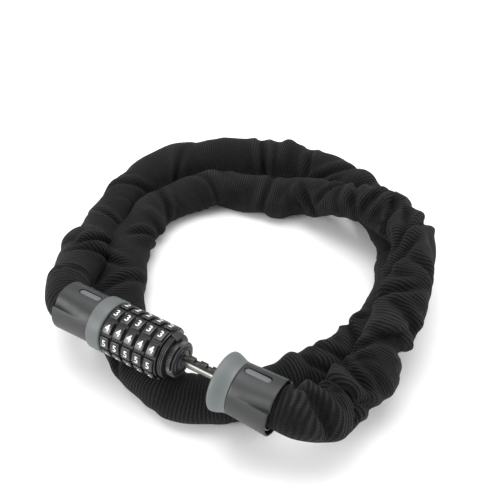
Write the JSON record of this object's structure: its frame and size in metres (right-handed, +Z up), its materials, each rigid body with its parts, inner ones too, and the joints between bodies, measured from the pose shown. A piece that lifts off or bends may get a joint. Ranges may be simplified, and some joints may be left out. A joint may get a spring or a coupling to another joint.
{
  "type": "combination chain lock",
  "caption": "Sleeved steel chain lock whose end caps meet at a row of numbered dials; it lies coiled, with its toothed bolt drawn out of the barrel.",
  "frame": {"origin": "on the surface that the lock lies on, under the middle dial", "axes": "+X along the lock from the fixed cap to the bolt's cap, +Y across towards the middle of the coiled chain, +Z up"},
  "size_m": [0.2469, 0.2549, 0.051],
  "materials": {
    "cap": "fine satin moulded plastic, charcoal",
    "inlay": "satin light grey plastic",
    "ring_grey": "satin mid grey plastic",
    "ring_light": "satin light grey plastic",
    "dial_black": "semi-gloss black, white printed numbers",
    "nose_black": "satin black, finely ridged",
    "nose_dark": "satin dark grey",
    "zinc": "zinc die casting, plain",
    "pin_steel": "ground steel pin",
    "clamp_steel": "rolled sheet steel",
    "spring_steel": "bright spring steel",
    "bolt_steel": "nickel-plated steel",
    "chain_steel": "zinc-plated hardened steel",
    "sleeve_cloth": "black woven ribbed nylon"
  },
  "bodies": {
    "lock_body": {"left_cap": "cap", "left_inlay": "inlay", "left_ring": "ring_grey", "left_anchor": "zinc", "left_chain_pin": "pin_steel", "left_clamp": "clamp_steel", "left_cap_screw": "pin_steel", "barrel": "zinc", "barrel_pin": "pin_steel", "detent_spring": "spring_steel", "thrust_ring": "nose_black", "index_lug": "cap", "spring_washer": "spring_steel", "nose_collar": "nose_dark", "retaining_clip": "spring_steel", "reset_stop_pin": "pin_steel", "chain_links": "chain_steel", "sleeve": "sleeve_cloth"},
    "reset_body": {"reset_ring": "nose_black"},
    "dial_body_1": {"dial_1": "dial_black", "tumbler_1": "zinc"},
    "dial_body_2": {"dial_2": "dial_black", "tumbler_2": "zinc"},
    "dial_body_3": {"dial_3": "dial_black", "tumbler_3": "zinc"},
    "dial_body_4": {"dial_4": "dial_black", "tumbler_4": "zinc"},
    "dial_body_5": {"dial_5": "dial_black", "tumbler_5": "zinc"},
    "bolt_end": {"bolt": "bolt_steel", "bolt_pin": "pin_steel", "right_anchor": "zinc", "right_ring": "ring_light", "right_cap": "cap", "right_inlay": "inlay", "right_chain_pin": "pin_steel", "right_clamp": "clamp_steel", "right_cap_screw": "pin_steel"}
  },
  "joints": [
    {"name": "dial_1_turn", "type": "hinge", "parent": "lock_body", "child": "dial_body_1", "pos_m": [-0.0136, 0, 0.036], "axis": [1, 0, 0], "continuous": true, "deforming": ["detent_spring"]},
    {"name": "dial_2_turn", "type": "hinge", "parent": "lock_body", "child": "dial_body_2", "pos_m": [-0.0068, 0, 0.036], "axis": [1, 0, 0], "continuous": true, "deforming": ["detent_spring"]},
    {"name": "dial_3_turn", "type": "hinge", "parent": "lock_body", "child": "dial_body_3", "pos_m": [0, 0, 0.036], "axis": [1, 0, 0], "continuous": true, "deforming": ["detent_spring"]},
    {"name": "dial_4_turn", "type": "hinge", "parent": "lock_body", "child": "dial_body_4", "pos_m": [0.0068, 0, 0.036], "axis": [1, 0, 0], "continuous": true, "deforming": ["detent_spring"]},
    {"name": "dial_5_turn", "type": "hinge", "parent": "lock_body", "child": "dial_body_5", "pos_m": [0.0136, 0, 0.036], "axis": [1, 0, 0], "continuous": true, "deforming": ["detent_spring"]},
    {"name": "reset_ring_turn", "type": "hinge", "parent": "lock_body", "child": "reset_body", "pos_m": [0.0225, 0, 0.036], "axis": [1, 0, 0], "range_deg": [0, 90]},
    {"name": "bolt_slide", "type": "slide", "parent": "lock_body", "child": "bolt_end", "axis": [1, 0, 0], "range_m": [-0.0272, 0.024], "deforming": ["sleeve", "chain_links"]}
  ]
}
